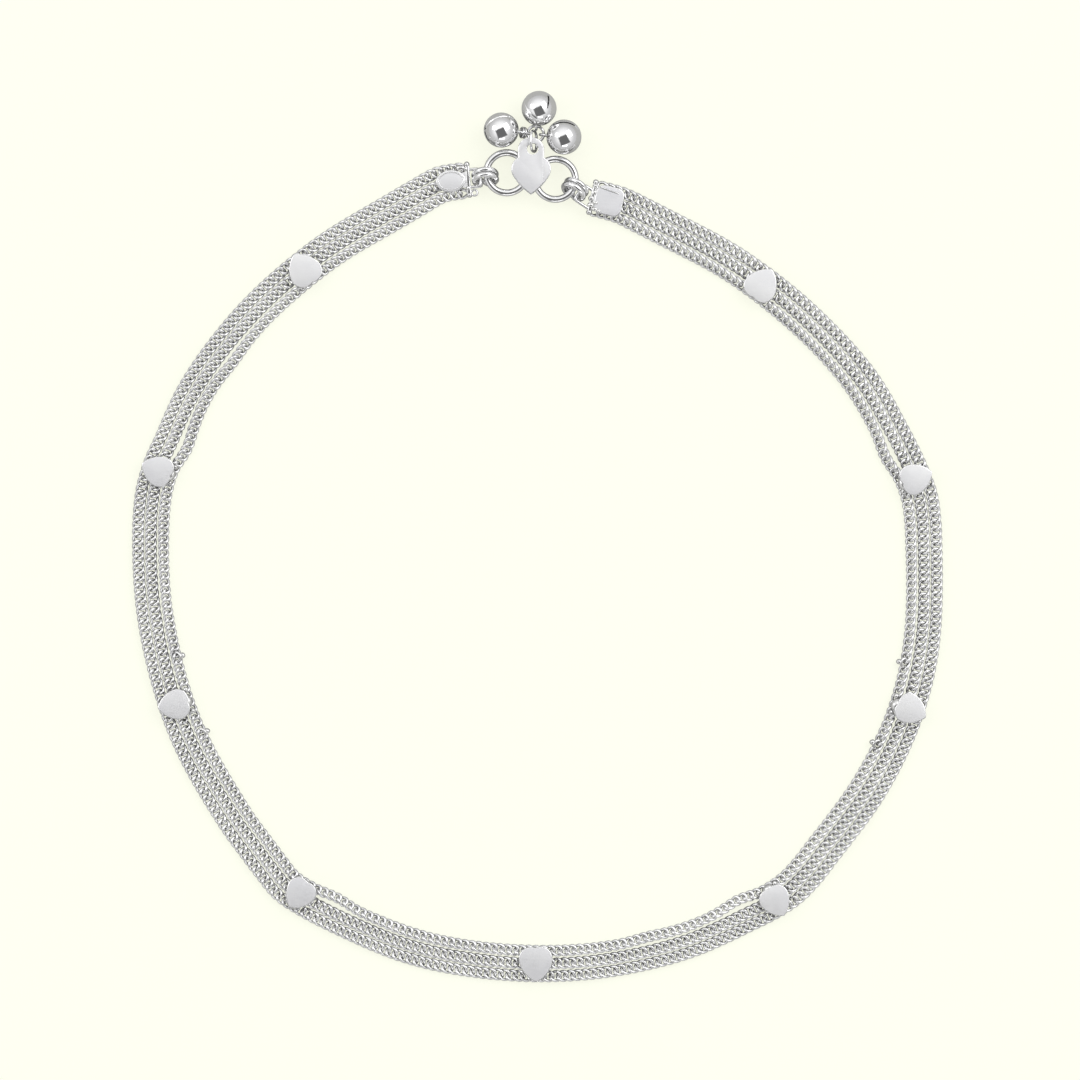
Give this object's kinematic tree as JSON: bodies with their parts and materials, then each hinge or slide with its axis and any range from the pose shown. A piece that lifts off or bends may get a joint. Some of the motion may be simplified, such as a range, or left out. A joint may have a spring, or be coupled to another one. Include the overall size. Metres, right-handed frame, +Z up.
{
  "type": "waist chain",
  "caption": "Closed waist chain of curb-chain strands side by side, with heart plates along it, a heart clasp between two big rings and small round bells.",
  "frame": {"origin": "middle of the footprint, on the surface that the chain lies on", "axes": "+Z up from the surface, +Y towards the clasp and bells, +X across the loop to the right"},
  "size_m": [0.153, 0.168, 0.0066],
  "materials": {
    "silver_chain": "bright silver, fine links",
    "silver_satin": "satin silver with bright edges",
    "silver_polished": "mirror polished silver"
  },
  "bodies": {
    "root": {"strand_outer_left": "silver_chain", "strand_outer_right": "silver_chain", "strand_middle_left": "silver_chain", "strand_middle_right": "silver_chain", "strand_inner_left": "silver_chain", "strand_inner_right": "silver_chain", "heart_plate_1": "silver_satin", "heart_plate_2": "silver_satin", "heart_plate_3": "silver_satin", "heart_plate_4": "silver_satin", "heart_plate_5": "silver_satin", "heart_plate_6": "silver_satin", "heart_plate_7": "silver_satin", "heart_plate_8": "silver_satin", "heart_plate_9": "silver_satin", "end_plate_left": "silver_satin", "end_plate_right": "silver_satin", "heart_clasp": "silver_satin", "double_ring_left": "silver_polished", "double_ring_right": "silver_polished", "clasp_ring_left": "silver_polished", "clasp_ring_right": "silver_polished", "clasp_link": "silver_polished", "bell_ring": "silver_polished", "bell_top": "silver_polished", "bell_left": "silver_polished", "bell_right": "silver_polished"}
  },
  "joints": []
}
